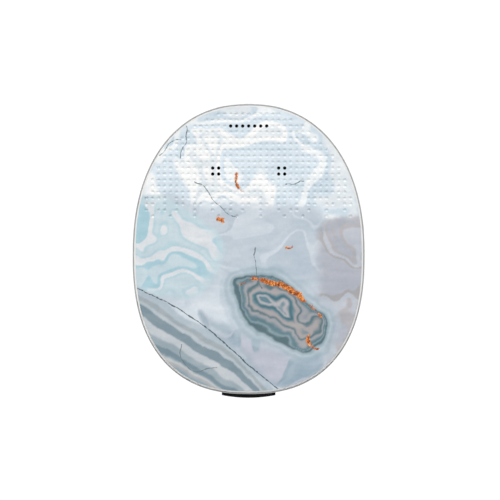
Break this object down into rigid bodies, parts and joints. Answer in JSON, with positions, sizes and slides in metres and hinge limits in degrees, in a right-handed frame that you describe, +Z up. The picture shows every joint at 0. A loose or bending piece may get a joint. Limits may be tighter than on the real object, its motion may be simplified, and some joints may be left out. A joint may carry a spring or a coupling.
{
  "type": "suction-mounted shower speaker",
  "caption": "Egg-shaped waterproof speaker with a marble-printed perforated face, rubber port flap, push buttons and a twist-lock suction mount.",
  "frame": {"origin": "centre of the suction cup's rim on the wall plane, level with the body's widest line", "axes": "+Z up along the body's long axis, +Y into the wall so the face looks towards -Y, +X to the right as seen from the front"},
  "size_m": [0.116, 0.0544, 0.1469],
  "materials": {
    "printed_skin": "satin print, pale poured-marble pattern",
    "white_shell": "satin",
    "seal_grey": "satin",
    "black_silicone": "matte",
    "button_grey": "satin",
    "smoked_light_guide": "smoked, polished",
    "black_mesh": "fine weave",
    "mount_grey": "moulded",
    "steel": "machined",
    "black_steel": "black coated",
    "cone_black": "moulded",
    "coil_copper": "enamelled copper wire",
    "spider_cloth": "resin-stiffened weave",
    "magnet_plating": "nickel plated",
    "circuit_board": "solder mask",
    "led_white": "clear lens",
    "chip_black": "moulded",
    "socket_steel": "stamped",
    "battery_wrap": "blue heat-shrink sleeve",
    "red_wire": "insulation",
    "pale_wire": "insulation"
  },
  "bodies": {
    "wall_mount": {"mount_hub": "mount_grey", "hub_screw": "steel", "cup_stud": "steel", "suction_cup": "black_silicone"},
    "speaker": {"face_skin": "printed_skin", "face_plate": "white_shell", "front_frame": "white_shell", "seal_ring": "seal_grey", "rear_shell": "white_shell", "port_cover_strap": "black_silicone", "button_seals": "black_silicone", "case_screws": "steel", "level_light_guide": "smoked_light_guide", "grille_cloth": "black_mesh", "mount_socket": "mount_grey", "socket_seal": "black_silicone", "socket_cap": "mount_grey", "socket_screws": "steel", "left_driver_gasket": "black_silicone", "left_driver_frame": "black_steel", "left_surround": "black_silicone", "left_spider": "spider_cloth", "left_top_plate": "steel", "left_magnet": "magnet_plating", "left_yoke": "steel", "right_driver_gasket": "black_silicone", "right_driver_frame": "black_steel", "right_surround": "black_silicone", "right_spider": "spider_cloth", "right_top_plate": "steel", "right_magnet": "magnet_plating", "right_yoke": "steel", "driver_screws": "steel", "led_board": "circuit_board", "level_leds": "led_white", "button_board": "circuit_board", "power_board": "circuit_board", "tact_switches": "socket_steel", "main_board": "circuit_board", "main_board_chips": "chip_black", "board_screws": "steel", "port_board": "circuit_board", "usb_socket": "socket_steel", "aux_jack": "chip_black", "battery_cell": "battery_wrap", "battery_cradle": "mount_grey", "battery_leads": "red_wire", "speaker_leads": "pale_wire"},
    "port_flap": {"port_cover": "black_silicone"},
    "volume_down": {"volume_down_button": "button_grey"},
    "play": {"play_button": "button_grey"},
    "volume_up": {"volume_up_button": "button_grey"},
    "power": {"power_button": "button_grey"},
    "left_diaphragm": {"left_cone": "cone_black", "left_dust_cap": "cone_black", "left_voice_coil": "coil_copper"},
    "right_diaphragm": {"right_cone": "cone_black", "right_dust_cap": "cone_black", "right_voice_coil": "coil_copper"}
  },
  "joints": [
    {"name": "mount_twist", "type": "hinge", "parent": "wall_mount", "child": "speaker", "pos_m": [0, 0, 0], "axis": [0, 1, 0], "range_deg": [0, 60]},
    {"name": "port_cover_hinge", "type": "hinge", "parent": "speaker", "child": "port_flap", "pos_m": [0, -0.0382, -0.0686], "axis": [1, 0, 0], "range_deg": [0, 110]},
    {"name": "volume_down_press", "type": "slide", "parent": "speaker", "child": "volume_down", "axis": [0, 0, -1], "range_m": [0, 0.0005], "stiffness_N_per_m": 3000, "springref_m": -0.0003},
    {"name": "play_press", "type": "slide", "parent": "speaker", "child": "play", "axis": [0, 0, -1], "range_m": [0, 0.0005], "stiffness_N_per_m": 3000, "springref_m": -0.0003},
    {"name": "volume_up_press", "type": "slide", "parent": "speaker", "child": "volume_up", "axis": [0, 0, -1], "range_m": [0, 0.0005], "stiffness_N_per_m": 3000, "springref_m": -0.0003},
    {"name": "power_press", "type": "slide", "parent": "speaker", "child": "power", "axis": [-1, 0, 0], "range_m": [0, 0.0005], "stiffness_N_per_m": 3000, "springref_m": -0.0003},
    {"name": "left_cone_slide", "type": "slide", "parent": "speaker", "child": "left_diaphragm", "axis": [0, -1, 0], "range_m": [-0.0008, 0.0008], "stiffness_N_per_m": 1500, "deforming": ["left_surround", "left_spider"]},
    {"name": "right_cone_slide", "type": "slide", "parent": "speaker", "child": "right_diaphragm", "axis": [0, -1, 0], "range_m": [-0.0008, 0.0008], "stiffness_N_per_m": 1500, "deforming": ["right_surround", "right_spider"]}
  ]
}
